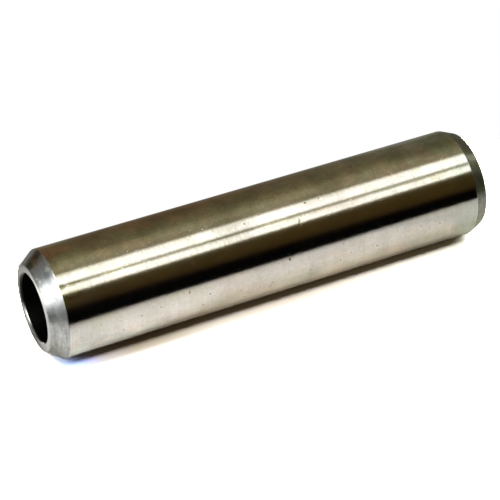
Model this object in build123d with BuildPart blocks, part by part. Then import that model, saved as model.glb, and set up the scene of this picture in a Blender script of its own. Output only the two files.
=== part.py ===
from build123d import *
import os

# Exhaust valve guide: a turned and ground bush that carries an engine's valve stem.
# Units are millimetres. +Z runs along the bore. The origin is the centre of the lead face,
# on which the guide stands. The lead end has the large chamfer and goes into the cylinder
# head first. The tail end has the slim chamfer.

os.makedirs("parts", exist_ok=True)

# Driving dimensions
length = 54.8
bore_diameter = 8.0
wall_thickness = 2.37
mouth_break = 0.2
lead_chamfer_length = 1.8
lead_face_width = 1.05
tail_chamfer_length = 1.55
tail_face_width = 1.72

# Radii of the half section, each face being measured outwards from the bore
bore_radius = bore_diameter / 2
outside_radius = bore_radius + wall_thickness
lead_face_radius = bore_radius + lead_face_width
tail_face_radius = bore_radius + tail_face_width

with BuildPart() as valve_guide:
    # Half section: lead face, lead chamfer, ground outside, tail chamfer, tail face and bore
    with BuildSketch(Plane.XZ) as wall_section:
        with BuildLine():
            Polyline(
                (bore_radius, 0),
                (lead_face_radius, 0),
                (outside_radius, lead_chamfer_length),
                (outside_radius, length - tail_chamfer_length),
                (tail_face_radius, length),
                (bore_radius, length),
                close=True,
            )
        make_face()
    revolve(axis=Axis.Z)

    # Both mouths of the bore are broken, so that no sharp edge scrapes the valve stem
    bore_wall = valve_guide.faces().filter_by(GeomType.CYLINDER).sort_by(SortBy.AREA)[0]
    mouths = bore_wall.edges().filter_by(GeomType.CIRCLE)
    chamfer(mouths, length=mouth_break)

valve_guide.part.label = "valve_guide"
export_step(valve_guide.part, "parts/valve_guide.step")
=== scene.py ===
import math

import bmesh
import bpy
from bpy.props import FloatProperty, FloatVectorProperty, IntProperty, PointerProperty
from mathutils import Matrix, Vector


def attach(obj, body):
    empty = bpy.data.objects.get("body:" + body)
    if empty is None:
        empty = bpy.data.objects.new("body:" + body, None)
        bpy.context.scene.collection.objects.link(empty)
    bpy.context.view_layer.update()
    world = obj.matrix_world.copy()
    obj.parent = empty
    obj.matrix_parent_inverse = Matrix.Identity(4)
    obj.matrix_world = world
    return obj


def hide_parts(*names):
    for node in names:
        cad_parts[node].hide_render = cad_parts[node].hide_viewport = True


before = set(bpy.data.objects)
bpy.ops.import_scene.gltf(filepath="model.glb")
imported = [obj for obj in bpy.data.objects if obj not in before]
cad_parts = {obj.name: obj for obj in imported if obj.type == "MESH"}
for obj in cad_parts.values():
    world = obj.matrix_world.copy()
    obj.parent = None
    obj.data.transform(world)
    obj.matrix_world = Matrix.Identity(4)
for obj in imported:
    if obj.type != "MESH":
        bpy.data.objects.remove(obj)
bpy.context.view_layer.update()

bl_info = {
    "name": "Exhaust valve guide",
    "version": (1, 0, 0),
    "blender": (4, 5, 0),
    "location": "3D View > Sidebar > Valve guide",
    "description": "Builds an exhaust valve guide, its ground and turned finishes and its studio bench",
    "category": "Object",
}

GUIDE_NODE = "valve_guide"
MM = 0.001
PICTURE_WIDTH_PX = 500
SENSOR_WIDTH_MM = 36.0
WHITE = (1.0, 1.0, 1.0)

# The bench is the plane that the guide lies on in the main view. It touches the guide's side,
# so its own directions are given in the guide's frame: along the bore, up from the bench, and
# across the bench towards the camera.
ALONG = Vector((0.0, 0.0, 1.0))
UP_FROM_BENCH = Vector((math.sqrt(0.5), -math.sqrt(0.5), 0.0))
TOWARDS_CAMERA = ALONG.cross(UP_FROM_BENCH)

# The main view's camera: its place and its own right, up and back directions
CAMERA_PLACE_MM = (230.177, 14.425, -57.129)
CAMERA_RIGHT = (0.308258, 0.308154, 0.900010)
CAMERA_UP = (0.155208, -0.949696, 0.272007)
CAMERA_BACK = (0.938556, 0.055841, -0.340579)
FOCAL_LENGTH_PX = 2133.4

# Rings of the turned mesh: beside each corner, and along the surfaces that are longer than this
SUPPORT_WIDTH = 0.03 * MM
LONG_SURFACE = 20 * MM
LONG_SURFACE_RINGS = 15
MERGE_DISTANCE = 1e-7

# Pitch of the tool's grooves on the lead chamfer, the tail chamfer and the faces, and how far
# from the bore's wall the painted shade round the mouth reaches over the lead face
LEAD_CHAMFER_PITCH = 0.11 * MM
TAIL_CHAMFER_PITCH = 0.10 * MM
FACE_PITCH = 0.09 * MM
PAINTED_SHADE_REACH = 0.45 * MM


def ring_sizes(node_name):
    """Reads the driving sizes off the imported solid, whose vertices all lie on its turned rings."""
    rings = set()
    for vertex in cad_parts[node_name].data.vertices:
        x, y, z = vertex.co
        rings.add((round(math.hypot(x, y), 6), round(z, 6)))
    foot = min(z for radius, z in rings)
    top = max(z for radius, z in rings)
    outside = max(radius for radius, z in rings)
    bore = min(radius for radius, z in rings)
    lead_face = [radius for radius, z in rings if z == foot]
    tail_face = [radius for radius, z in rings if z == top]
    shoulders = [z for radius, z in rings if radius == outside]
    return {
        "length": top - foot,
        "outside_diameter": 2 * outside,
        "bore_diameter": 2 * bore,
        "mouth_break": min(lead_face) - bore,
        "lead_chamfer_length": min(shoulders) - foot,
        "lead_face_width": max(lead_face) - bore,
        "tail_chamfer_length": top - max(shoulders),
        "tail_face_width": max(tail_face) - bore,
    }


SOLID = ring_sizes(GUIDE_NODE)


def size_property(label, about, value):
    return FloatProperty(
        name=label, description=about, default=value, min=0.0, unit="LENGTH", precision=5
    )


def share_property(label, about, value):
    return FloatProperty(
        name=label, description=about, default=value, min=0.0, max=1.0, subtype="FACTOR"
    )


def gain_property(label, about, value):
    return FloatProperty(name=label, description=about, default=value, min=0.0)


def count_property(label, about, value, least, most):
    return IntProperty(name=label, description=about, default=value, min=least, max=most)


def colour_property(label, about, value, highest=1.0):
    return FloatVectorProperty(
        name=label, description=about, default=value, size=3, min=0.0, max=highest, subtype="COLOR"
    )


def angle_property(label, about, degrees):
    value = math.radians(degrees)
    return FloatProperty(
        name=label, description=about, default=value, subtype="ANGLE", unit="ROTATION"
    )


class GuideSizes(bpy.types.PropertyGroup):
    """Sizes of the turned bush, which start as the solid's own"""

    length: size_property("Length", "From the lead face to the tail face", SOLID["length"])
    outside_diameter: size_property(
        "Outside diameter", "Ground diameter that is pressed in", SOLID["outside_diameter"]
    )
    bore_diameter: size_property("Bore", "Diameter that the stem runs in", SOLID["bore_diameter"])
    mouth_break: size_property("Mouth break", "Width of each mouth's broken edge", SOLID["mouth_break"])
    lead_chamfer_length: size_property(
        "Lead chamfer", "Length of the large chamfer along the axis", SOLID["lead_chamfer_length"]
    )
    lead_face_width: size_property("Lead face", "Width from the bore outwards", SOLID["lead_face_width"])
    tail_chamfer_length: size_property(
        "Tail chamfer", "Length of the slim chamfer along the axis", SOLID["tail_chamfer_length"]
    )
    tail_face_width: size_property("Tail face", "Width from the bore outwards", SOLID["tail_face_width"])
    corner_radius: size_property("Corner rounding", "Rounding left on every turned corner", 0.09 * MM)
    corner_steps: count_property("Corner steps", "Facets across each rounding", 3, 1, 8)
    turning_steps: count_property("Turning steps", "Facets round the guide", 320, 24, 720)


class GuideFinish(bpy.types.PropertyGroup):
    """Colours and gloss of the ground, turned and reamed surfaces"""

    ground_colour: colour_property("Ground metal", "Bright metal of the outside", (0.70, 0.675, 0.63))
    ground_stain: colour_property("Ground stain", "Duller, warmer clouds on it", (0.56, 0.535, 0.485))
    ground_roughness: share_property("Ground roughness", "Roughness of the ground outside", 0.105)
    chamfer_colour: colour_property("Lead chamfer", "Metal of the lead chamfer", (0.605, 0.61, 0.60))
    chamfer_stain: colour_property("Lead stain", "Darker clouds on that chamfer", (0.37, 0.38, 0.38))
    # The tail chamfer's metal and stain are darker than the lead chamfer's: painted shade
    tail_colour: colour_property("Tail chamfer", "Duller metal of that chamfer", (0.375, 0.378, 0.345))
    tail_stain: colour_property("Tail stain", "Darker clouds on that chamfer", (0.23, 0.235, 0.205))
    chamfer_roughness: share_property("Turned roughness", "Roughness of both chamfers", 0.33)
    face_colour: colour_property("Tail face", "Metal of the tail face", (0.62, 0.61, 0.60))
    # The lead face and the lead mouth are near white: their painted light and shade round the guide
    # darken them, and leave the mouth's painted glint
    lead_face_colour: colour_property("Lead face", "Metal of the lead face", (0.96, 0.965, 0.985))
    lead_face_stain: colour_property("Lead face stain", "Clouds on the lead face", (0.825, 0.83, 0.845))
    face_roughness: share_property("Faced roughness", "Roughness of the two flat faces", 0.34)
    mouth_colour: colour_property("Lead mouth", "Metal of its broken edge", (1.0, 1.0, 0.99))
    mouth_roughness: share_property("Mouth roughness", "Roughness of that edge", 0.22)
    # The bore's colour is near black: painted shade for the dark inside of the bore
    bore_shade_colour: colour_property("Bore metal", "Dark, oiled metal of the bore", (0.008, 0.008, 0.007))
    bore_roughness: share_property("Bore roughness", "Roughness of the reamed bore", 0.4)
    pit_colour: colour_property("Pit", "Dark specks and pits", (0.13, 0.12, 0.10))
    bare_colour: colour_property("Bare edge", "Metal worn bright along the corners", (0.82, 0.81, 0.78))
    rust_colour: colour_property("Warm blotch", "Tint of the faint reddish blotches", (1.0, 0.86, 0.72))
    oil_colour: colour_property("Olive blotch", "Tint of the faint olive blotches", (0.90, 0.93, 0.76))
    film_dark: colour_property("Film, dark", "Tint where the oil is thick", (0.81, 0.81, 0.80), 1.5)
    film_light: colour_property("Film, light", "Tint where the oil is thin", (1.18, 1.18, 1.18), 1.5)
    film_green: colour_property("Film, green", "Greenest tint of the oil", (0.95, 1.015, 0.97), 1.5)
    film_red: colour_property("Film, red", "Reddest tint of the oil", (1.07, 0.975, 0.96), 1.5)
    tail_end_light_tint: colour_property("End ring", "Tint near the tail end", (0.91, 0.97, 0.965), 1.5)


class StudioSettings(bpy.types.PropertyGroup):
    """Bench, lamps and walls of the studio"""

    front_lamp_strength: gain_property("Front lamp", "Brightness of the narrow lamp in front", 5.8)
    top_lamp_strength: gain_property("Top lamp", "Brightness of the wide lamp overhead", 3.6)
    lamp_colour: colour_property("Lamp colour", "Warm white of both lamps", (1.0, 0.985, 0.955))
    window_strength: gain_property("Window", "Brightness of the light from behind on the left", 9.0)
    window_colour: colour_property("Window colour", "Pale blue of that light", (0.45, 0.62, 1.0))
    lamp_distance: size_property("Lamp distance", "From the guide's axis to each lamp", 0.6)
    front_lamp_low: angle_property("Front lamp, low edge", "Angle above the bench", 55.5)
    front_lamp_high: angle_property("Front lamp, high edge", "Angle above the bench", 66.0)
    top_lamp_low: angle_property("Top lamp, low edge", "Angle above the bench", 70.5)
    top_lamp_high: angle_property("Top lamp, high edge", "Angle above the bench", 92.5)
    bench_colour: colour_property("Bench", "Pale bench and floor", (0.93, 0.915, 0.88))
    bench_fade_start: size_property("Fade, start", "Where the mirrored bench starts to darken", 24 * MM)
    bench_fade_end: size_property("Fade, end", "Where the mirrored bench is black", 61 * MM)
    bench_gain: gain_property("Bench gain", "How much paler the camera sees it, to be white", 2.4)
    floor_gain: gain_property("Floor gain", "The same for the floor, which the lamps light less", 6.0)
    fill_colour: colour_property("Fill", "Faint light of the room in the shadows", (0.085, 0.06, 0.03))


def add_node(tree, kind, inputs=None, output=0, **settings):
    """Adds a node, sets or links its inputs, and gives one of its outputs."""
    made = tree.nodes.new("ShaderNode" + kind)
    for name, value in settings.items():
        setattr(made, name, value)
    for place, value in (inputs or {}).items():
        if isinstance(value, bpy.types.NodeSocket):
            tree.links.new(value, made.inputs[place])
        else:
            made.inputs[place].default_value = value
    return made.outputs[output]


def maths(tree, operation, first, second=0.0, third=0.0, clamp=False):
    return add_node(
        tree, "Math", {0: first, 1: second, 2: third}, operation=operation, use_clamp=clamp
    )


def times(tree, first, second):
    return maths(tree, "MULTIPLY", first, second)


def total(tree, first, *others, clamp=False):
    """The sum of all the parts, which can be kept between 0 and 1."""
    for part in others[:-1]:
        first = maths(tree, "ADD", first, part)
    return maths(tree, "ADD", first, others[-1], clamp=clamp)


def layered(tree, *layers):
    """The sum of patterns, each times its own depth."""
    return total(tree, *[times(tree, pattern, depth) for pattern, depth in layers])


def vector_maths(tree, operation, first, second=(0.0, 0.0, 0.0), output=0):
    return add_node(
        tree, "VectorMath", {0: first, 1: second}, output=output, operation=operation
    )


def dot_with(tree, vector, direction):
    """The part of a vector that lies along one direction."""
    return vector_maths(tree, "DOT_PRODUCT", vector, tuple(direction), output="Value")


def object_place(tree):
    """The place on the piece, in its own coordinates."""
    return add_node(tree, "TexCoord", output="Object")


def shifted(tree, place, x, y, z):
    """Coordinates moved aside, so that one pattern doesn't follow another."""
    return vector_maths(tree, "ADD", place, (x, y, z))


def distance_from_axis(tree, place):
    flat = vector_maths(tree, "MULTIPLY", place, (1.0, 1.0, 0.0))
    return vector_maths(tree, "LENGTH", flat, output="Value")


def angle_round_guide(tree, place):
    """Degrees above the bench in front, from straight below (-90) and once round (270)."""
    ahead = dot_with(tree, place, TOWARDS_CAMERA)
    above = dot_with(tree, place, UP_FROM_BENCH)
    angle = maths(tree, "DEGREES", maths(tree, "ARCTAN2", above, ahead))
    behind = maths(tree, "LESS_THAN", angle, -90.0)
    return maths(tree, "MULTIPLY_ADD", behind, 360.0, angle)


def blend_colours(tree, share, first, second, kind="MIX"):
    return add_node(
        tree,
        "Mix",
        {"Factor": share, 6: opaque(first), 7: opaque(second)},
        output=2,
        data_type="RGBA",
        blend_type=kind,
    )


def tinted(tree, colour, tint, share=1.0):
    return blend_colours(tree, share, colour, tint, kind="MULTIPLY")


def rescale(tree, value, low, high, start, end, kind="LINEAR"):
    """Goes evenly from start to end while the value goes from low to high, and stops there."""
    return add_node(
        tree,
        "MapRange",
        {"Value": value, "From Min": low, "From Max": high, "To Min": start, "To Max": end},
        interpolation_type=kind,
    )


def ease(tree, value, low, high, start=0.0, end=1.0):
    """The same, but smoothly."""
    return rescale(tree, value, low, high, start, end, "SMOOTHSTEP")


def noise(tree, vector, scale, detail=2.0, roughness=0.5, distortion=0.0):
    inputs = {"Vector": vector, "Scale": scale, "Detail": detail, "Roughness": roughness}
    inputs["Distortion"] = distortion
    return add_node(tree, "TexNoise", inputs)


def stretched(tree, vector, around, along):
    """Coordinates whose pattern is long round the guide and short along it, in features per metre."""
    return vector_maths(tree, "MULTIPLY", vector, (around, around, along))


def opaque(colour):
    """A colour with its alpha. A socket stays as it is."""
    if isinstance(colour, bpy.types.NodeSocket):
        return colour
    return (colour[0], colour[1], colour[2], 1.0)


def scaled(colour, factor):
    return [factor * part for part in colour]


def stepped_tones(tree, value, tones):
    """Tones that follow a value: each row gives a value and the red, green and blue there."""
    first, last = tones[0][0], tones[-1][0]
    made = tree.nodes.new("ShaderNodeValToRGB")
    tree.links.new(rescale(tree, value, first, last, 0.0, 1.0), made.inputs["Fac"])
    stops = made.color_ramp.elements
    stops.remove(stops[-1])
    for index, (place, *colour) in enumerate(tones):
        share = (place - first) / (last - first)
        stop = stops[0] if index == 0 else stops.new(share)
        stop.position = share
        stop.color = opaque(colour)
    return made.outputs["Color"]


def after_matt(tree, rays):
    """1 for light that a matt surface has thrown back, 0 for the rest."""
    return maths(tree, "GREATER_THAN", rays["Diffuse Depth"], 0.5)


def start_material(name):
    material = bpy.data.materials.new(name)
    material.use_nodes = True
    material.node_tree.nodes.clear()
    return material, material.node_tree


def end_tree(tree, shader, kind="ShaderNodeOutputMaterial"):
    tree.links.new(shader, tree.nodes.new(kind).inputs["Surface"])


def finish_metal(tree, colour, roughness, height, depth, anisotropy):
    """Ends a metal: anisotropic along the turning run, with a bump from the height."""
    tangent = add_node(tree, "Tangent", direction_type="UV_MAP", uv_map="turning_run")
    bump = add_node(
        tree, "Bump", {"Strength": 1.0, "Distance": depth, "Height": height}, output="Normal"
    )
    shader = add_node(
        tree,
        "BsdfPrincipled",
        {
            "Base Color": colour,
            "Metallic": 1.0,
            "Roughness": roughness,
            "Anisotropic": anisotropy,
            "Normal": bump,
            "Tangent": tangent,
        },
    )
    end_tree(tree, shader)


def specks(tree, place, spacing, radius, share):
    """Sparse round specks, in a share of the cells of one spacing: 1 inside a speck, 0 outside."""
    cells = tree.nodes.new("ShaderNodeTexVoronoi")
    cells.inputs["Scale"].default_value = 1.0 / spacing
    tree.links.new(place, cells.inputs["Vector"])
    inside = ease(tree, cells.outputs["Distance"], radius / spacing, 0.35 * radius / spacing)
    chosen = add_node(tree, "SeparateColor", {0: cells.outputs["Color"]})
    return times(tree, inside, maths(tree, "LESS_THAN", chosen, share))


def ring_bands(tree, place, run, fine, slow, detail=2.0):
    """Noise in bands round the guide: fine along the half section and slow round it, per metre."""
    across = add_node(tree, "CombineXYZ", {0: times(tree, run, fine)})
    drift = vector_maths(tree, "MULTIPLY", place, (slow, slow, 0.0))
    return noise(tree, vector_maths(tree, "ADD", across, drift), 1.0, detail=detail, roughness=0.6)


def wear_at(tree, run, corner, width):
    """1 on a corner of the half section, and 0 from one width away from it."""
    distance = maths(tree, "ABSOLUTE", maths(tree, "SUBTRACT", run, corner))
    return ease(tree, distance, width, 0.2 * width)


# Marks on the metal, by millimetres from the lead face, degrees above the bench in front, half
# length along and round the guide in millimetres, and tint. The small ones are specks and pits
# that show in the photograph. The long ones are painted light and shade: soft patches, duller or
# brighter, that bring the tone nearer to it.
BODY_SPECKS_AND_PAINTED_LIGHT = (
    (30.85, 49.5, 0.11, 0.28, 0.50, 0.49, 0.34), (30.70, 47.0, 0.11, 0.30, 0.46, 0.45, 0.32),
    (30.80, 44.3, 0.10, 0.30, 2.2, 2.2, 1.7), (24.49, 62.3, 0.12, 0.12, 0.22, 0.22, 0.18),
    (32.27, 65.5, 0.14, 0.12, 0.25, 0.25, 0.18), (18.64, 0.9, 0.11, 0.11, 0.25, 0.22, 0.20),
    (28.64, 13.0, 0.14, 0.22, 0.25, 0.24, 0.20), (16.19, 10.4, 0.10, 0.22, 0.40, 0.38, 0.34),
    (17.27, 39.0, 0.10, 0.12, 3.5, 3.5, 3.2), (10.30, 0.0, 0.10, 0.12, 0.45, 0.42, 0.38),
    (39.80, -3.0, 0.10, 0.13, 0.42, 0.40, 0.36), (45.60, 5.0, 0.12, 0.12, 0.50, 0.48, 0.42),
    (8.20, -12.0, 0.11, 0.11, 0.50, 0.48, 0.42), (2.46, 101.0, 2.60, 1.50, 1.12, 0.95, 0.84),
    (3.60, 79.0, 4.20, 1.10, 1.17, 1.16, 1.12), (10.50, 76.0, 4.50, 0.80, 1.13, 1.13, 1.10),
    (14.50, 96.0, 1.10, 0.60, 1.12, 1.02, 0.92), (2.10, 38.5, 0.40, 0.60, 0.90, 1.15, 0.70),
    (23.00, 70.0, 2.60, 3.60, 0.86, 0.85, 0.84), (28.10, 68.0, 2.00, 3.00, 1.09, 1.09, 1.08),
    (34.50, 64.0, 3.20, 1.60, 0.93, 0.92, 0.91), (43.00, 80.0, 2.60, 1.20, 1.07, 1.09, 1.06),
    (2.15, 53.4, 0.50, 0.36, 0.56, 0.55, 0.42), (3.60, 54.6, 1.00, 0.14, 0.66, 0.65, 0.52),
    (3.30, 52.2, 0.80, 0.10, 0.80, 0.80, 0.62), (9.50, 54.0, 3.20, 0.30, 1.28, 1.28, 1.26),
    (8.20, 52.6, 1.30, 0.50, 1.10, 1.10, 1.10), (2.90, 66.6, 1.30, 0.60, 0.86, 0.86, 0.80),
    (3.00, 43.2, 1.60, 0.60, 0.78, 0.80, 0.66), (37.00, 67.0, 2.60, 0.50, 0.88, 0.87, 0.84),
    (31.50, 53.0, 2.60, 0.50, 0.94, 0.93, 0.90), (50.00, 53.6, 2.60, 0.60, 0.92, 0.92, 0.88),
    (47.00, 116.0, 5.00, 3.00, 1.16, 1.17, 1.20), (15.50, 67.0, 3.20, 0.80, 0.92, 0.92, 0.90),
    (22.50, 67.0, 2.40, 0.90, 0.86, 0.86, 0.84), (33.00, 67.4, 2.60, 0.80, 0.88, 0.88, 0.86),
    (20.50, 52.5, 3.60, 0.40, 0.91, 0.90, 0.88), (28.50, 52.3, 2.40, 0.40, 0.90, 0.89, 0.84),
    (36.00, 52.3, 4.00, 0.40, 0.92, 0.90, 0.87), (47.50, 52.3, 3.00, 0.40, 0.91, 0.91, 0.86),
    (6.00, -21.0, 5.00, 1.60, 1.08, 1.09, 1.12), (36.50, -21.5, 4.50, 1.60, 1.12, 1.13, 1.13),
    (47.00, -26.0, 3.20, 1.70, 0.86, 0.88, 0.88), (49.00, 98.0, 5.00, 2.60, 0.90, 0.95, 0.98),
    (48.50, 119.5, 6.00, 1.00, 1.45, 1.48, 1.55), (2.60, 119.5, 3.00, 0.90, 1.35, 1.34, 1.36),
    (21.50, 54.8, 2.20, 0.16, 0.82, 0.79, 0.78), (24.60, 54.8, 1.00, 0.15, 0.80, 0.78, 0.76),
    (27.90, 53.8, 1.70, 0.30, 1.26, 1.25, 1.22), (45.00, 54.0, 4.00, 0.10, 0.84, 0.83, 0.76),
)
# The same for the lead chamfer: all painted light and shade, in soft patches and small bright spots
CHAMFER_PAINTED_LIGHT = (
    (0.74, 104.0, 0.80, 1.10, 0.86, 0.72, 0.52), (1.25, 91.0, 0.50, 0.60, 1.02, 0.92, 0.98),
    (1.50, 77.5, 0.22, 0.45, 1.45, 1.60, 1.45), (1.23, 71.0, 0.28, 0.35, 0.80, 0.90, 0.94),
    (0.22, 76.0, 0.14, 0.16, 1.7, 1.75, 1.7), (0.42, 70.5, 0.16, 0.16, 1.5, 1.55, 1.5),
    (0.30, 64.0, 0.16, 0.30, 0.62, 0.64, 0.65), (0.47, 31.0, 0.40, 0.70, 0.84, 0.86, 0.84),
    (0.89, -1.0, 0.12, 1.70, 1.13, 1.13, 1.12), (0.35, -8.0, 0.14, 1.20, 0.86, 0.84, 0.82),
    (1.50, 4.0, 0.12, 1.10, 0.86, 0.85, 0.83), (0.40, -30.0, 0.35, 0.80, 0.78, 0.80, 0.76),
    (0.50, 23.0, 0.45, 0.65, 0.72, 0.73, 0.72), (1.26, 72.0, 0.40, 0.60, 0.82, 0.79, 0.78),
    (1.50, 108.0, 0.50, 0.95, 0.74, 0.56, 0.46), (0.30, 102.0, 0.34, 0.75, 0.56, 0.60, 0.58),
    (0.55, -14.0, 0.22, 0.70, 0.90, 0.88, 0.86), (1.15, -16.0, 0.16, 0.95, 1.08, 1.08, 1.05),
)
# The same for the tail chamfer: all painted light and shade, in soft patches
TAIL_PAINTED_LIGHT = (
    (54.00, 62.5, 1.10, 0.42, 1.50, 1.50, 1.38), (53.70, 71.0, 0.90, 0.50, 0.80, 0.80, 0.66),
    (54.05, 52.0, 1.10, 0.60, 0.80, 0.82, 0.66), (54.05, 40.0, 1.20, 0.80, 0.74, 0.77, 0.56),
    (54.05, 27.0, 1.20, 0.75, 0.78, 0.80, 0.62), (54.05, 13.0, 1.20, 0.60, 0.94, 0.97, 1.06),
    (54.30, 0.0, 0.70, 0.60, 0.88, 0.91, 0.98), (53.70, 92.0, 0.60, 1.10, 0.92, 0.94, 0.80),
)


def placed_marks(tree, colour, place, marks, radius):
    """Tints a colour at single places on the guide, with soft ragged edges."""
    ragged = times(tree, maths(tree, "SUBTRACT", noise(tree, place, 2600.0), 0.5), 1.4)
    for height, degrees, length, girth, *tint in marks:
        turn = math.radians(degrees)
        outward = math.cos(turn) * TOWARDS_CAMERA + math.sin(turn) * UP_FROM_BENCH
        round_it = math.cos(turn) * UP_FROM_BENCH - math.sin(turn) * TOWARDS_CAMERA
        middle = radius * outward + height * MM * ALONG
        offset = vector_maths(tree, "SUBTRACT", place, tuple(middle))
        along = maths(tree, "DIVIDE", dot_with(tree, offset, ALONG), length * MM)
        across = maths(tree, "DIVIDE", dot_with(tree, offset, round_it), girth * MM)
        reach = total(tree, times(tree, along, along), times(tree, across, across))
        share = ease(tree, total(tree, reach, ragged), 1.25, 0.35)
        facing = maths(tree, "GREATER_THAN", dot_with(tree, place, outward), 0.0)
        colour = tinted(tree, colour, tint, times(tree, share, facing))
    return colour


def ground_metal(finish, sizes):
    """Ground outside: marks round the guide, soft blotches, specks, pits, bare corners and soft patches
    of painted light and shade.
    """
    material, tree = start_material("ground_outside")
    place = object_place(tree)
    run = add_node(tree, "SeparateXYZ", {0: place}, output="Z")
    marks = ring_bands(tree, place, run, 9000.0, 260.0, detail=3.0)
    bands = ring_bands(tree, place, run, 1500.0, 90.0)
    clouds = noise(tree, stretched(tree, place, 300.0, 150.0), 1.0, detail=3.0, roughness=0.6)
    blotches = noise(tree, stretched(tree, place, 420.0, 300.0), 1.0, roughness=0.55, distortion=0.6)
    mottle = noise(tree, place, 900.0, roughness=0.6)
    grain = noise(tree, place, 3400.0, roughness=0.6)

    # The top and the underside are the most soiled, and the front, above its middle, is the cleanest
    turn = angle_round_guide(tree, place)
    upper = ease(tree, turn, 64.0, 80.0)
    soiled = maths(tree, "MAXIMUM", upper, ease(tree, turn, 0.0, -20.0, 0.0, 0.6))
    under_front = ease(tree, turn, 15.0, 9.0, 0.25, 1.0)
    over_front = ease(tree, turn, 44.0, 50.0, 0.25, 1.0)
    pitted = maths(tree, "MAXIMUM", under_front, over_front)
    spots = specks(tree, place, 1.05 * MM, 0.13 * MM, 0.7)
    spots = times(tree, spots, ease(tree, upper, 0.0, 1.0, 1.0, 0.35))
    spots = times(tree, spots, pitted)
    pits = specks(tree, shifted(tree, place, 0.013, 0.007, 0.004), 0.62 * MM, 0.085 * MM, 0.8)
    pits = times(tree, pits, pitted)

    dull = total(
        tree,
        ease(tree, clouds, 0.40, 0.65, 0.0, 0.32),
        ease(tree, mottle, 0.35, 0.7, 0.0, 0.25),
        ease(tree, bands, 0.35, 0.65, 0.0, 0.22),
        ease(tree, marks, 0.35, 0.65, 0.0, 0.2),
        ease(tree, grain, 0.35, 0.7, -0.1, 0.35),
        clamp=True,
    )
    colour = blend_colours(tree, dull, finish.ground_colour, finish.ground_stain)
    warm = ease(tree, blotches, 0.53, 0.72, 0.0, 0.24)
    colour = tinted(tree, colour, finish.rust_colour, warm)
    olive = ease(tree, blotches, 0.46, 0.28, 0.0, 0.42)
    colour = tinted(tree, colour, finish.oil_colour, olive)
    film = noise(tree, shifted(tree, place, 0.031, 0.0, 0.02), 260.0, detail=4.0, roughness=0.62)
    film = blend_colours(tree, ease(tree, film, 0.34, 0.66), finish.film_dark, finish.film_light)
    colour = tinted(tree, colour, film, rescale(tree, soiled, 0.0, 1.0, 0.18, 1.0))
    shade = noise(tree, shifted(tree, place, 0.0, 0.05, 0.07), 330.0, detail=3.0, roughness=0.6)
    shade = blend_colours(tree, ease(tree, shade, 0.36, 0.64), finish.film_green, finish.film_red)
    colour = tinted(tree, colour, shade, rescale(tree, soiled, 0.0, 1.0, 0.15, 1.0))
    # Painted tint of the light near the tail end, a little cooler there
    tail_end_share = ease(tree, run, sizes.length - 6.5 * MM, sizes.length - 2.8 * MM)
    colour = tinted(tree, colour, finish.tail_end_light_tint, tail_end_share)
    colour = blend_colours(tree, times(tree, spots, 0.85), colour, finish.pit_colour)
    # Specks and pits, and soft patches of painted light and shade
    colour = placed_marks(tree, colour, place, BODY_SPECKS_AND_PAINTED_LIGHT, sizes.outside_diameter / 2)
    lead_corner = wear_at(tree, run, sizes.lead_chamfer_length, 0.16 * MM)
    tail_corner = wear_at(tree, run, sizes.length - sizes.tail_chamfer_length, 0.12 * MM)
    worn = maths(tree, "MAXIMUM", lead_corner, tail_corner)
    worn = times(tree, worn, ease(tree, mottle, 0.3, 0.6))
    colour = blend_colours(tree, worn, colour, finish.bare_colour)

    low, high = finish.ground_roughness - 0.015, finish.ground_roughness + 0.015
    roughness = total(
        tree,
        rescale(tree, bands, 0.3, 0.7, low, high),
        ease(tree, clouds, 0.45, 0.75, 0.0, 0.02),
        times(tree, spots, 0.15),
        times(tree, worn, 0.22),
    )
    height = layered(tree, (marks, 0.5), (mottle, 5.0), (grain, 2.2), (spots, -6.0), (pits, -9.0))
    finish_metal(tree, colour, roughness, height, 0.001 * MM, 0.7)
    return material


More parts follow.
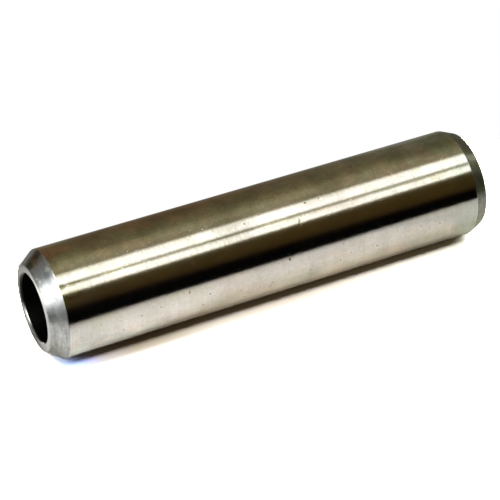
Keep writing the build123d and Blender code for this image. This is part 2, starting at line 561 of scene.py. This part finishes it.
def turned_metal(
    name, colour, stain, matt, groove_pitch, marks=(), radius=0.0, painted_light_round=(), painted_shade_margin=0.0
):
    """Turned surface: fine grooves round the guide, patchy and more matt than the ground one.

    The marks, which are painted light and shade, stand at one radius. The painted light round the guide
    makes it duller or brighter from place to place round the guide. Painted shade round the mouth darkens
    it as far as the margin, a radius, and is lighter where the mouth's painted glint is.
    """
    material, tree = start_material(name)
    place = object_place(tree)
    run = add_node(tree, "UVMap", uv_map="turning_run")
    run = add_node(tree, "SeparateXYZ", {0: run}, output="X")
    wander = noise(tree, place, 500.0)
    phase = total(tree, maths(tree, "DIVIDE", run, groove_pitch), times(tree, wander, 1.2))
    grooves = maths(tree, "SINE", times(tree, phase, 2 * math.pi))
    bands = ring_bands(tree, place, run, 3200.0, 240.0, detail=3.0)
    mottle = noise(tree, place, 1400.0, detail=3.0, roughness=0.65)
    grain = noise(tree, place, 5200.0, roughness=0.6)
    clouds = noise(tree, place, 420.0)

    dull = total(
        tree,
        ease(tree, mottle, 0.35, 0.65, 0.0, 0.35),
        ease(tree, clouds, 0.4, 0.62, 0.0, 0.3),
        ease(tree, bands, 0.36, 0.64, -0.1, 0.35),
        ease(tree, grain, 0.36, 0.64, -0.1, 0.25),
        times(tree, grooves, 0.08),
        clamp=True,
    )
    tone = blend_colours(tree, dull, colour, stain)
    if marks:
        tone = placed_marks(tree, tone, place, marks, radius)
    # Painted light and shade round the guide, and painted shade round the mouth
    if painted_light_round:
        tone = tinted(tree, tone, stepped_tones(tree, angle_round_guide(tree, place), painted_light_round))
    if painted_shade_margin:
        shaded_ring = ease(tree, distance_from_axis(tree, place), painted_shade_margin + 0.10 * MM, painted_shade_margin - 0.12 * MM)
        mouth_shade = stepped_tones(tree, angle_round_guide(tree, place), LEAD_RING_PAINTED_SHADE)
        tone = tinted(tree, tone, mouth_shade, shaded_ring)

    roughness = rescale(tree, mottle, 0.3, 0.7, matt - 0.06, matt + 0.07)
    height = layered(tree, (grooves, 0.5), (mottle, 2.2), (grain, 0.8), (bands, 0.8))
    finish_metal(tree, tone, roughness, height, 0.003 * MM, 0.55)
    return material


def reamed_metal(finish):
    """Reamed bore: near black as painted shade inside it, with long rings and dull oil clouds."""
    material, tree = start_material("reamed_bore")
    place = object_place(tree)
    rings = noise(tree, stretched(tree, place, 120.0, 4200.0), 1.0)
    clouds = noise(tree, place, 420.0, detail=3.0)
    stain = scaled(finish.bore_shade_colour, 0.6)
    tone = blend_colours(tree, ease(tree, clouds, 0.35, 0.7), finish.bore_shade_colour, stain)
    roughness = rescale(tree, clouds, 0.3, 0.7, finish.bore_roughness - 0.05, finish.bore_roughness + 0.1)
    finish_metal(tree, tone, roughness, rings, 0.003 * MM, 0.4)
    return material


def grey_tones(*pairs):
    return [(place, tone, tone, tone) for place, tone in pairs]


# Painted light and shade of the lead face, of the ring round its mouth and of the mouth's broken edge,
# by degrees above the bench in front: painted highlights at two opposite places, where the concentric
# cuts of the tool throw light, painted shade round the mouth behind, and a painted glint on the broken
# edge
LEAD_FACE_PAINTED_LIGHT = grey_tones(
    (-90, 0.07), (-80, 0.12), (-60, 0.46), (-40, 0.68), (-20, 0.68), (0, 0.64),
    (20, 0.50), (40, 0.68), (52, 0.96), (63, 1.0), (74, 0.60), (90, 0.46),
    (120, 0.28), (150, 0.27), (170, 0.20), (186, 0.13), (200, 0.10), (213, 0.24),
    (238, 0.36), (248, 0.19), (256, 0.03), (264, 0.02), (270, 0.07),
)
LEAD_RING_PAINTED_SHADE = grey_tones(
    (-90, 0.55), (-70, 1.0), (140, 1.0), (160, 0.20), (176, 0.005), (206, 0.005),
    (218, 0.8), (240, 0.8), (250, 0.05), (262, 0.05), (270, 0.55),
)
LEAD_MOUTH_PAINTED_LIGHT = grey_tones(
    (-90, 0.35), (-60, 0.45), (-30, 0.40), (90, 0.06), (130, 0.01), (206, 0.01),
    (214, 0.36), (222, 0.62), (238, 0.62), (248, 0.40), (262, 0.40), (270, 0.35),
)


def half_section(bm, sizes):
    """Draws the half section as a face in the XZ plane and rounds its corners."""
    bore = sizes.bore_diameter / 2
    outside = sizes.outside_diameter / 2
    mouth = bore + sizes.mouth_break
    lead_face = bore + sizes.lead_face_width
    tail_face = bore + sizes.tail_face_width
    corners = [
        (mouth, 0.0),
        (lead_face, 0.0),
        (outside, sizes.lead_chamfer_length),
        (outside, sizes.length - sizes.tail_chamfer_length),
        (tail_face, sizes.length),
        (mouth, sizes.length),
        (bore, sizes.length - sizes.mouth_break),
        (bore, sizes.mouth_break),
    ]
    section = bm.faces.new([bm.verts.new((radius, 0.0, height)) for radius, height in corners])
    bmesh.ops.bevel(
        bm,
        geom=list(section.verts),
        offset=sizes.corner_radius,
        offset_type="OFFSET",
        segments=sizes.corner_steps,
        profile=0.5,
        affect="VERTICES",
        material=-1,
        clamp_overlap=True,
    )
    return corners


def surface_at(corners, radius, height):
    """Index of the turned surface that lies nearest to a place in the half section."""
    best, chosen = None, 0
    spot = Vector((radius, height))
    for index, corner in enumerate(corners):
        start = Vector(corner)
        run = Vector(corners[(index + 1) % len(corners)]) - start
        share = min(1.0, max(0.0, (spot - start).dot(run) / run.length_squared))
        distance = (spot - start - share * run).length
        if best is None or distance < best - 1e-9:
            best, chosen = distance, index
    return chosen


def turn_guide(sizes):
    """Spins the rounded half section into a closed shell, with support rings beside each corner."""
    bm = bmesh.new()
    corners = half_section(bm, sizes)
    bmesh.ops.delete(bm, geom=list(bm.faces), context="FACES_ONLY")
    for edge in list(bm.edges):
        if edge.calc_length() > 4 * SUPPORT_WIDTH:
            start, end = edge.verts
            vertex = bmesh.utils.edge_split(edge, start, SUPPORT_WIDTH / edge.calc_length())[1]
            far = [part for part in vertex.link_edges if end in part.verts][0]
            bmesh.utils.edge_split(far, end, SUPPORT_WIDTH / far.calc_length())
    long_edges = [edge for edge in bm.edges if edge.calc_length() > LONG_SURFACE]
    bmesh.ops.subdivide_edges(bm, edges=long_edges, cuts=LONG_SURFACE_RINGS)
    bmesh.ops.spin(
        bm,
        geom=list(bm.verts) + list(bm.edges),
        cent=(0.0, 0.0, 0.0),
        axis=ALONG,
        angle=2 * math.pi,
        steps=sizes.turning_steps,
        use_merge=True,
        use_duplicate=False,
    )
    bmesh.ops.remove_doubles(bm, verts=list(bm.verts), dist=MERGE_DISTANCE)
    bmesh.ops.recalc_face_normals(bm, faces=list(bm.faces))
    return bm, corners


def lay_turning_run(bm, corners, outside_radius):
    """UV map that runs along the half section first, and round the guide second."""
    layer = bm.loops.layers.uv.new("turning_run")
    for face in bm.faces:
        centre = face.calc_center_median()
        middle = math.atan2(centre.y, centre.x)
        outward = Vector((centre.x, centre.y, 0.0)).normalized()
        out_part = face.normal.dot(outward)
        up_part = face.normal.z
        face.material_index = surface_at(corners, math.hypot(centre.x, centre.y), centre.z)
        face.smooth = True
        for loop in face.loops:
            x, y, z = loop.vert.co
            turn = math.atan2(y, x) - middle
            turn = middle + (turn + math.pi) % (2 * math.pi) - math.pi
            loop[layer].uv = (out_part * z - up_part * math.hypot(x, y), outside_radius * turn)


def add_object(name, bm):
    mesh = bpy.data.meshes.new(name)
    bm.to_mesh(mesh)
    bm.free()
    piece = bpy.data.objects.new(name, mesh)
    bpy.context.scene.collection.objects.link(piece)
    return piece


class VALVEGUIDE_OT_bush(bpy.types.Operator):
    """Turn the guide's one piece and give each of its surfaces its finish"""

    bl_idname = "valveguide.bush"
    bl_label = "Bush"

    def execute(self, context):
        sizes = context.scene.guide_sizes
        finish = context.scene.guide_finish
        bore_radius = sizes.bore_diameter / 2
        outside_radius = sizes.outside_diameter / 2
        bm, corners = turn_guide(sizes)
        if not bm.faces:
            bm.free()
            raise RuntimeError("the half section could not be spun")
        lay_turning_run(bm, corners, outside_radius)
        guide = add_object("guide_bush", bm)
        outside = ground_metal(finish, sizes)
        chamfer = turned_metal(
            "turned_chamfer",
            finish.chamfer_colour,
            finish.chamfer_stain,
            finish.chamfer_roughness,
            LEAD_CHAMFER_PITCH,
            marks=CHAMFER_PAINTED_LIGHT,
            radius=(bore_radius + sizes.lead_face_width + outside_radius) / 2,
        )
        tail = turned_metal(
            "turned_tail_chamfer",
            finish.tail_colour,
            finish.tail_stain,
            finish.chamfer_roughness,
            TAIL_CHAMFER_PITCH,
            marks=TAIL_PAINTED_LIGHT,
            radius=(bore_radius + sizes.tail_face_width + outside_radius) / 2,
        )
        tail_face = turned_metal(
            "turned_tail_face",
            finish.face_colour,
            scaled(finish.face_colour, 0.8),
            finish.face_roughness,
            FACE_PITCH,
        )
        lead_face = turned_metal(
            "turned_lead_face",
            finish.lead_face_colour,
            finish.lead_face_stain,
            finish.face_roughness,
            FACE_PITCH,
            painted_light_round=LEAD_FACE_PAINTED_LIGHT,
            painted_shade_margin=bore_radius + PAINTED_SHADE_REACH,
        )
        lead_mouth = turned_metal(
            "turned_lead_mouth",
            finish.mouth_colour,
            scaled(finish.mouth_colour, 0.8),
            finish.mouth_roughness,
            FACE_PITCH,
            painted_light_round=LEAD_MOUTH_PAINTED_LIGHT,
        )
        bore = reamed_metal(finish)
        # In the order of the half section's corners: lead face, lead chamfer, outside,
        # tail chamfer, tail face, tail mouth, bore, lead mouth
        surfaces = (lead_face, chamfer, outside, tail, tail_face, tail_face, bore, lead_mouth)
        for material in surfaces:
            guide.data.materials.append(material)
        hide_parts(GUIDE_NODE)
        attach(guide, "root")
        return {"FINISHED"}


def bench_place(along, above, ahead):
    """A place in the guide's frame, from millimetres along its axis, up from it and to the camera."""
    return MM * (along * ALONG + above * UP_FROM_BENCH + ahead * TOWARDS_CAMERA)


def add_sheet(name, places, material):
    """One flat sheet, seen from the side on which its corners run anticlockwise."""
    bm = bmesh.new()
    bm.faces.new([bm.verts.new(place) for place in places])
    sheet = add_object(name, bm)
    sheet.data.materials.append(material)
    return sheet


def hide_from(sheet, *rays):
    for kind in rays:
        setattr(sheet, "visible_" + kind, False)


# Painted reflection of the bench in the metal, with painted shade: darker and yellower close to the
# guide, by millimetres towards the camera, for the half at the lead end and for the rest
BENCH_AHEAD_TONES_LEAD = (
    (-14, 1.6, 1.6, 1.58), (-1, 1.6, 1.6, 1.58), (1.6, 0.85, 0.83, 0.78), (4.5, 0.84, 0.82, 0.75),
    (5.8, 0.96, 0.95, 0.90), (7.4, 1.02, 1.03, 1.04), (9.7, 1.16, 1.18, 1.23),
    (13.3, 1.10, 1.13, 1.18), (21, 0.97, 0.99, 1.04), (30, 0.90, 0.90, 0.92),
)
BENCH_AHEAD_TONES_TAIL = (
    (2.4, 0.76, 0.68, 0.56), (4.5, 0.76, 0.69, 0.57), (5.8, 0.78, 0.73, 0.63),
    (7.4, 0.78, 0.75, 0.68), (9.7, 0.95, 0.94, 0.92), (13.3, 1.01, 1.02, 1.05),
    (21, 0.93, 0.94, 1.0), (30, 0.88, 0.90, 0.96),
)
# The same painted reflection along the guide: cooler past the lead end, darker past the tail end
BENCH_ALONG_TONES = (
    (-18, 1.02, 1.04, 1.04), (-6, 0.80, 0.82, 0.84), (-1, 0.84, 0.86, 0.88), (3.8, 1.0, 1.01, 1.03),
    (5.2, 0.90, 0.91, 0.93), (7.2, 0.90, 0.91, 0.93), (11, 1.0, 1.0, 1.0), (52.5, 1.0, 1.0, 1.0),
    (54, 0.84, 0.89, 0.90), (56, 0.82, 0.86, 0.86), (60, 0.87, 0.88, 0.84), (66, 0.80, 0.81, 0.76),
    (80, 0.86, 0.86, 0.80),
)
# And close to the guide: painted light where light creeps in at both ends
BENCH_NEAR_TONES = (
    (-1.0, 1.0, 1.0, 1.0), (1.2, 1.05, 1.12, 1.28), (2.2, 1.35, 1.48, 1.70), (3.6, 2.0, 2.25, 2.4),
    (6.5, 1.50, 1.60, 1.75), (9.5, 1.20, 1.21, 1.22), (14, 0.78, 0.77, 0.76),
    (19, 0.88, 0.86, 0.84), (24, 0.88, 0.88, 0.88), (28, 1.03, 1.03, 1.03), (35, 1.10, 1.10, 1.09),
    (41, 0.80, 0.81, 0.80), (47, 0.66, 0.70, 0.68), (52.4, 0.84, 0.93, 0.92),
    (53.8, 1.35, 1.55, 1.6),
)
# Painted tints of what the camera sees of the bench in the guide's shadow: painted pale blue light under
# the lead end, a wider and warmer painted shadow beside it, and a thinner one at the tail end
BENCH_SHADOW_TONES = (
    (-0.4, 4.0, 3.4, 2.6), (0.4, 3.2, 2.9, 2.5), (1.3, 1.5, 1.7, 2.1), (2.4, 0.86, 1.20, 2.05),
    (4, 0.80, 0.96, 1.85), (6, 0.75, 0.72, 0.80), (10, 0.60, 0.54, 0.44), (14, 0.66, 0.60, 0.50),
    (20, 0.94, 0.87, 0.80), (30, 1.0, 0.93, 0.86), (40, 1.2, 1.17, 1.10), (50, 1.28, 1.3, 1.2),
    (53.2, 1.3, 1.35, 1.2), (54.2, 2.2, 2.3, 2.2),
)
# The same painted tint behind the guide, which lifts the shadow there, and the tone that the mirrored
# bench fades to: painted shade
BENCH_BEHIND_TINT = (3.4, 3.2, 2.95)
BENCH_FAR_TONE = (0.002, 0.0015, 0.001)
# Where one look of the bench turns into the next, by millimetres towards the camera
NEAR_GUIDE_MM = (7.5, 2.4)
SHADOW_EDGE_MM = (5.7, 4.3)
BEHIND_GUIDE_MM = (-6.6, -8.6)
CONTACT_LINE_MM = (0.9, -0.6)
# And by millimetres along the guide. The step from the lead half's look to the rest slants.
LEAD_TO_TAIL_MM = (6.0, 16.0)
LEAD_TO_TAIL_SLANT = -0.9
CONTACT_START_MM = (-1.0, 0.0)
# The mirrored bench fades sooner at the lead end and later past the tail end: from and to
# millimetres along the guide, and the scale of the fade at both
LEAD_FADE_SCALE = (5.0, 25.0, 0.74, 1.0)
TAIL_FADE_SCALE = (35.0, 85.0, 1.0, 1.42)
# How much of the bench and of the walls is left for light that a matt surface has thrown back
BENCH_BOUNCE = 0.03
WALL_BOUNCE = 0.04


def pale_sheet_material(name, studio, gain, shadow_tones=(), clear_distance=()):
    """Pale and matt, with a clear back. The camera sees it paler, so that all but the shadow is white.

    The shadow tones tint the shadow along the guide: painted shadow, and painted pale light at the ends.
    What the metal mirrors of it is a painted reflection, with painted shade near the guide and a fade to
    black far off. Between the two clear distances from the axis, in millimetres, what the camera sees
    fades to plain white.
    """
    material, tree = start_material(name)
    rays = tree.nodes.new("ShaderNodeLightPath").outputs
    place = object_place(tree)
    place = vector_maths(tree, "MULTIPLY", place, (1 / MM, 1 / MM, 1 / MM))
    ahead = dot_with(tree, place, TOWARDS_CAMERA)
    along = dot_with(tree, place, ALONG)

    # Painted reflection of the bench in the metal, with painted shade close to the guide and far off
    lead_tones = stepped_tones(tree, ahead, BENCH_AHEAD_TONES_LEAD)
    tail_tones = stepped_tones(tree, ahead, BENCH_AHEAD_TONES_TAIL)
    slanted = maths(tree, "MULTIPLY_ADD", ahead, LEAD_TO_TAIL_SLANT, along)
    mirrored = blend_colours(tree, ease(tree, slanted, *LEAD_TO_TAIL_MM), lead_tones, tail_tones)
    mirrored = tinted(tree, mirrored, stepped_tones(tree, along, BENCH_ALONG_TONES))
    mirrored = tinted(tree, mirrored, studio.bench_colour)
    near_tones = stepped_tones(tree, along, BENCH_NEAR_TONES)
    mirrored = tinted(tree, mirrored, near_tones, ease(tree, ahead, *NEAR_GUIDE_MM))
    scale = times(tree, rescale(tree, along, *LEAD_FADE_SCALE), ease(tree, along, *TAIL_FADE_SCALE))
    reach = maths(tree, "DIVIDE", ahead, scale)
    far = ease(tree, reach, studio.bench_fade_start / MM, studio.bench_fade_end / MM)
    mirrored = blend_colours(tree, far, mirrored, BENCH_FAR_TONE)

    seen = scaled(studio.bench_colour, gain)
    if shadow_tones:
        tint = stepped_tones(tree, along, shadow_tones)
        tint = blend_colours(tree, ease(tree, ahead, *BEHIND_GUIDE_MM), tint, BENCH_BEHIND_TINT)
        seen = tinted(tree, seen, tint, ease(tree, ahead, *SHADOW_EDGE_MM))

    tone = blend_colours(tree, rays["Is Camera Ray"], studio.bench_colour, seen)
    tone = blend_colours(tree, rays["Is Glossy Ray"], tone, mirrored)
    tone = blend_colours(tree, after_matt(tree, rays), tone, scaled(studio.bench_colour, BENCH_BOUNCE))
    matt = add_node(tree, "BsdfDiffuse", {"Color": tone})
    # The guide's back doesn't mirror the line where it touches the bench, and looks on past it
    unmirrored = times(tree, ease(tree, ahead, *CONTACT_LINE_MM), ease(tree, along, *CONTACT_START_MM))
    unmirrored = times(tree, unmirrored, rays["Is Glossy Ray"])
    back = add_node(tree, "NewGeometry", output="Backfacing")
    back = maths(tree, "MAXIMUM", back, unmirrored)
    clear = add_node(tree, "BsdfTransparent")
    surface = add_node(tree, "MixShader", {0: back, 1: matt, 2: clear})
    if clear_distance:
        away = ease(tree, distance_from_axis(tree, place), *clear_distance)
        away = times(tree, away, maths(tree, "SUBTRACT", 1.0, back))
        white = add_node(tree, "Emission", {"Color": opaque(WHITE), "Strength": 1.0})
        surface = add_node(tree, "MixShader", {0: away, 1: surface, 2: white})
    end_tree(tree, surface)
    return material


def lamp_material(name, colour, strength):
    """Evenly lit, and clear from behind."""
    material, tree = start_material(name)
    glow = add_node(tree, "Emission", {"Color": opaque(colour), "Strength": strength})
    back = add_node(tree, "NewGeometry", output="Backfacing")
    clear = add_node(tree, "BsdfTransparent")
    end_tree(tree, add_node(tree, "MixShader", {0: back, 1: glow, 2: clear}))
    return material


# Tones of the studio that the metal mirrors, by the angle above the bench in front, in degrees:
# black low in front, brown above it, the front lamp, the top lamp, and an olive wall that darkens
# to brown behind. The ends of the studio, seen past the ends of the guide, have their own. Like
# the bench's tones above, they were chosen by comparing the render's levels with the photograph's.
STUDIO_TONES = (
    (0, 0.001, 0.001, 0.001), (8, 0.001, 0.001, 0.001), (15, 0.004, 0.002, 0.001),
    (22, 0.034, 0.021, 0.006), (30, 0.052, 0.033, 0.008), (41, 0.058, 0.037, 0.009),
    (47.2, 0.085, 0.066, 0.029), (50.4, 0.22, 0.20, 0.115), (53.1, 1.50, 1.48, 1.32),
    (55.6, 1.85, 1.84, 1.76), (62, 1.85, 1.84, 1.76), (64.8, 1.50, 1.48, 1.34),
    (67.6, 0.58, 0.57, 0.44), (69.8, 0.43, 0.42, 0.31), (71.2, 0.68, 0.67, 0.52),
    (73.2, 1.55, 1.54, 1.45), (76, 1.88, 1.87, 1.82), (88, 1.85, 1.84, 1.76),
    (91, 1.55, 1.53, 1.38), (96, 0.36, 0.32, 0.215), (100, 0.340, 0.298, 0.192),
    (112, 0.326, 0.290, 0.182), (120, 0.266, 0.234, 0.136), (128, 0.194, 0.164, 0.090),
    (136, 0.160, 0.134, 0.072), (148, 0.138, 0.112, 0.060), (176, 0.125, 0.100, 0.056),
    (190, 0.136, 0.116, 0.076), (204, 0.18, 0.16, 0.125), (225, 0.25, 0.235, 0.20),
)
# The same below the bench, where only the guide's back looks: from behind, down and to the front
UNDERSIDE_TONES = (
    (200, 0.17, 0.15, 0.115), (222, 0.30, 0.285, 0.25), (234, 0.85, 0.83, 0.77),
    (248, 0.85, 0.83, 0.77), (258, 0.24, 0.225, 0.19), (270, 0.20, 0.19, 0.16),
    (288, 0.52, 0.50, 0.45), (302, 0.52, 0.50, 0.45), (318, 0.10, 0.09, 0.07),
    (334, 0.001, 0.001, 0.001),
)
LEFT_END_TONES = (
    (-90, 0.30, 0.30, 0.30), (-20, 0.14, 0.14, 0.14), (-5, 0.035, 0.037, 0.036),
    (10, 0.18, 0.187, 0.186), (26, 0.62, 0.64, 0.645), (42, 1.5, 1.53, 1.53), (56, 3.8, 3.8, 3.77),
    (92, 4.0, 4.0, 3.97), (100, 1.0, 1.02, 1.02), (108, 0.20, 0.22, 0.23), (126, 0.29, 0.30, 0.295),
    (142, 0.30, 0.30, 0.27), (158, 0.15, 0.14, 0.12), (170, 0.042, 0.033, 0.020),
    (182, 0.038, 0.030, 0.018), (192, 0.25, 0.245, 0.225), (206, 0.42, 0.42, 0.40),
    (270, 0.42, 0.42, 0.40),
)
RIGHT_END_TONES = (
    (-90, 0.12, 0.12, 0.10), (-30, 0.22, 0.225, 0.17), (0, 0.025, 0.025, 0.008),
    (40, 0.006, 0.006, 0.001), (72, 0.14, 0.14, 0.10), (92, 0.44, 0.44, 0.30),
    (106, 0.44, 0.44, 0.30), (122, 0.14, 0.137, 0.09), (150, 0.09, 0.085, 0.055),
    (172, 0.10, 0.095, 0.07), (190, 0.27, 0.28, 0.21), (270, 0.27, 0.28, 0.21),
)
# The wall behind, as it changes from redder and darker on the left to paler on the right, by level
BEHIND_TONES = (
    (14.8, 1.0, 0.96, 0.96), (16, 0.92, 0.83, 0.79), (18.5, 0.87, 0.74, 0.68),
    (20.3, 0.95, 0.86, 0.83), (21.5, 1.02, 1.0, 1.02), (23.4, 1.10, 1.18, 1.28),
    (25.6, 1.12, 1.28, 1.48),
)
# The lamps stand a little askew to the guide, so their streaks creep round it towards the tail
LAMP_CREEP = 0.264
LAMP_CREEP_LEVEL = 20.5
# Low in front they creep the other way: from and to degrees, and the share of the creep at both
LOW_CREEP = (44.0, 24.0, 1.0, -1.3)
# Where one part of the studio turns into the next, by degrees above the bench in front
BEHIND_START = (136.0, 170.0)
BELOW_BEHIND = (200.0, 212.0)
BELOW_IN_FRONT = (-16.0, -26.0)
# And by level
PAST_LEFT_END = (8.0, -8.0)
PAST_RIGHT_END = (34.0, 54.0)


def studio_material():
    """What the metal mirrors of the studio, read by direction from the guide."""
    material, tree = start_material("studio_walls")
    place = object_place(tree)
    direction = vector_maths(tree, "NORMALIZE", place)
    level = maths(tree, "DEGREES", maths(tree, "ARCSINE", dot_with(tree, direction, ALONG)))
    angle = angle_round_guide(tree, direction)
    creep = times(tree, maths(tree, "SUBTRACT", level, LAMP_CREEP_LEVEL), LAMP_CREEP)
    creep = times(tree, creep, ease(tree, angle, *LOW_CREEP))
    tone = stepped_tones(tree, maths(tree, "SUBTRACT", angle, creep), STUDIO_TONES)
    behind = ease(tree, angle, *BEHIND_START)
    tone = tinted(tree, tone, stepped_tones(tree, level, BEHIND_TONES), behind)
    from_front = maths(tree, "MULTIPLY_ADD", maths(tree, "LESS_THAN", angle, 0.0), 360.0, angle)
    below = maths(
        tree, "MAXIMUM", ease(tree, angle, *BELOW_BEHIND), ease(tree, angle, *BELOW_IN_FRONT)
    )
    tone = blend_colours(tree, below, tone, stepped_tones(tree, from_front, UNDERSIDE_TONES))
    for tones, levels in ((LEFT_END_TONES, PAST_LEFT_END), (RIGHT_END_TONES, PAST_RIGHT_END)):
        past_end = ease(tree, level, *levels)
        tone = blend_colours(tree, past_end, tone, stepped_tones(tree, angle, tones))
    rays = tree.nodes.new("ShaderNodeLightPath").outputs
    strength = maths(tree, "MULTIPLY_ADD", after_matt(tree, rays), WALL_BOUNCE - 1.0, 1.0)
    end_tree(tree, add_node(tree, "Emission", {"Color": tone, "Strength": strength}))
    material.cycles.emission_sampling = "NONE"
    return material


def set_up_world(studio):
    """White for what the camera and bright metal see, and only a faint warm fill for the shadows."""
    world = bpy.data.worlds.new("studio_room")
    world.use_nodes = True
    tree = world.node_tree
    tree.nodes.clear()
    rays = tree.nodes.new("ShaderNodeLightPath").outputs
    seen = maths(tree, "MAXIMUM", rays["Is Camera Ray"], rays["Is Glossy Ray"])
    seen = maths(tree, "MAXIMUM", seen, rays["Is Transmission Ray"])
    tone = blend_colours(tree, seen, studio.fill_colour, WHITE)
    light = add_node(tree, "Background", {"Color": tone, "Strength": 1.0})
    end_tree(tree, light, "ShaderNodeOutputWorld")
    bpy.context.scene.world = world


# The long lamps' ends, by millimetres along the guide, and the window's place: its direction is
# given along the guide, up from the bench and towards the camera
LAMP_ENDS_MM = (-1500.0, 560.0)
WINDOW_DIRECTION = Vector((-0.75, 0.33, -0.57))
WINDOW_HALF_WIDTH_MM = 150.0


def add_lamp(name, places, colour, strength):
    """A lamp that lights the bench only; what the metal mirrors of it is painted on the walls."""
    lamp = add_sheet(name, places, lamp_material(name + "_light", colour, strength))
    hide_from(lamp, "camera", "glossy", "shadow")


def long_lamp_places(distance, low, high):
    """Corners of a long lamp above the bench and parallel to the guide, between two angles."""
    left, right = LAMP_ENDS_MM
    places = []
    for along, turn in ((left, low), (left, high), (right, high), (right, low)):
        places.append(bench_place(along, distance * math.sin(turn), distance * math.cos(turn)))
    return places


def window_places(distance):
    """Corners of an upright window behind the lead end, low over the bench, facing the guide."""
    middle = WINDOW_DIRECTION.normalized() * distance
    sideways = Vector((middle.z, 0.0, -middle.x)).normalized() * WINDOW_HALF_WIDTH_MM
    upwards = middle.cross(sideways).normalized() * WINDOW_HALF_WIDTH_MM
    corners = ((-1, -1), (1, -1), (1, 1), (-1, 1))
    return [bench_place(*(middle + across * sideways + up * upwards)) for across, up in corners]


def add_camera():
    """The main view, from the photograph's side, tilt and distance."""
    data = bpy.data.cameras.new("bench_camera")
    data.sensor_width = SENSOR_WIDTH_MM
    data.lens = FOCAL_LENGTH_PX / PICTURE_WIDTH_PX * SENSOR_WIDTH_MM
    data.clip_start = 5 * MM
    data.clip_end = 10.0
    camera = bpy.data.objects.new("bench_camera", data)
    turn = Matrix((CAMERA_RIGHT, CAMERA_UP, CAMERA_BACK)).transposed().to_4x4()
    camera.matrix_world = Matrix.Translation(MM * Vector(CAMERA_PLACE_MM)) @ turn
    bpy.context.scene.collection.objects.link(camera)
    bpy.context.scene.camera = camera


# Corners of the bench, by millimetres along the guide and towards the camera. It reaches further
# past the tail end in front, where the guide mirrors it, than beside the end.
BENCH_CORNERS_MM = ((-60.0, -15.0), (-60.0, 90.0), (162.0, 90.0), (68.0, 8.0), (68.0, -15.0))
# The floor is for the views in which the guide stands, and lies just under the lead face. Its
# corners go by millimetres up from the bench and towards the camera. It fades to plain white
# between the two clear distances from the guide's axis.
FLOOR_LEVEL_MM = -0.02
FLOOR_CORNERS_MM = ((-500.0, 500.0), (-500.0, -500.0), (500.0, -500.0), (500.0, 500.0))
FLOOR_CLEAR_DISTANCE_MM = (10.0, 26.0)
WALL_RADIUS = 2.5


class VALVEGUIDE_OT_stage(bpy.types.Operator):
    """Set up the bench, the floor, the lamps, the walls and the camera"""

    bl_idname = "valveguide.stage"
    bl_label = "Stage"

    def execute(self, context):
        studio = context.scene.studio_settings
        bench_level = -context.scene.guide_sizes.outside_diameter / 2 / MM
        bench = add_sheet(
            "bench",
            [bench_place(along, bench_level, ahead) for along, ahead in BENCH_CORNERS_MM],
            pale_sheet_material("pale_bench", studio, studio.bench_gain, BENCH_SHADOW_TONES),
        )
        hide_from(bench, "shadow")
        floor = add_sheet(
            "floor",
            [bench_place(FLOOR_LEVEL_MM, above, ahead) for above, ahead in FLOOR_CORNERS_MM],
            pale_sheet_material(
                "pale_floor", studio, studio.floor_gain, clear_distance=FLOOR_CLEAR_DISTANCE_MM
            ),
        )
        hide_from(floor, "glossy", "diffuse", "shadow")
        distance = studio.lamp_distance / MM
        front = long_lamp_places(distance, studio.front_lamp_low, studio.front_lamp_high)
        add_lamp("front_lamp", front, studio.lamp_colour, studio.front_lamp_strength)
        top = long_lamp_places(distance, studio.top_lamp_low, studio.top_lamp_high)
        add_lamp("top_lamp", top, studio.lamp_colour, studio.top_lamp_strength)
        add_lamp("window", window_places(distance), studio.window_colour, studio.window_strength)
        bm = bmesh.new()
        bmesh.ops.create_uvsphere(bm, u_segments=64, v_segments=32, radius=WALL_RADIUS)
        bmesh.ops.reverse_faces(bm, faces=list(bm.faces))
        walls = add_object("studio_walls", bm)
        walls.data.materials.append(studio_material())
        hide_from(walls, "camera", "diffuse", "shadow")
        set_up_world(studio)
        add_camera()
        context.scene.view_settings.view_transform = "Standard"
        return {"FINISHED"}


class VALVEGUIDE_PT_panel(bpy.types.Panel):
    """Sidebar panel that lists the guide's pieces, finishes and stage"""

    bl_idname = "VALVEGUIDE_PT_panel"
    bl_label = "Exhaust valve guide"
    bl_space_type = "VIEW_3D"
    bl_region_type = "UI"
    bl_category = "Valve guide"

    def draw(self, context):
        layout = self.layout
        groups = (
            (VALVEGUIDE_OT_bush, context.scene.guide_sizes),
            (VALVEGUIDE_OT_bush, context.scene.guide_finish),
            (VALVEGUIDE_OT_stage, context.scene.studio_settings),
        )
        for operator, group in groups:
            box = layout.box()
            for name in group.__annotations__:
                box.prop(group, name)
            box.operator(operator.bl_idname)


CLASSES = (
    GuideSizes,
    GuideFinish,
    StudioSettings,
    VALVEGUIDE_OT_bush,
    VALVEGUIDE_OT_stage,
    VALVEGUIDE_PT_panel,
)


def register():
    for made in CLASSES:
        bpy.utils.register_class(made)
    bpy.types.Scene.guide_sizes = PointerProperty(type=GuideSizes)
    bpy.types.Scene.guide_finish = PointerProperty(type=GuideFinish)
    bpy.types.Scene.studio_settings = PointerProperty(type=StudioSettings)


def unregister():
    del bpy.types.Scene.studio_settings
    del bpy.types.Scene.guide_finish
    del bpy.types.Scene.guide_sizes
    for made in reversed(CLASSES):
        bpy.utils.unregister_class(made)


def main():
    register()
    bpy.ops.valveguide.bush()
    bpy.ops.valveguide.stage()


if __name__ == "__main__":
    main()
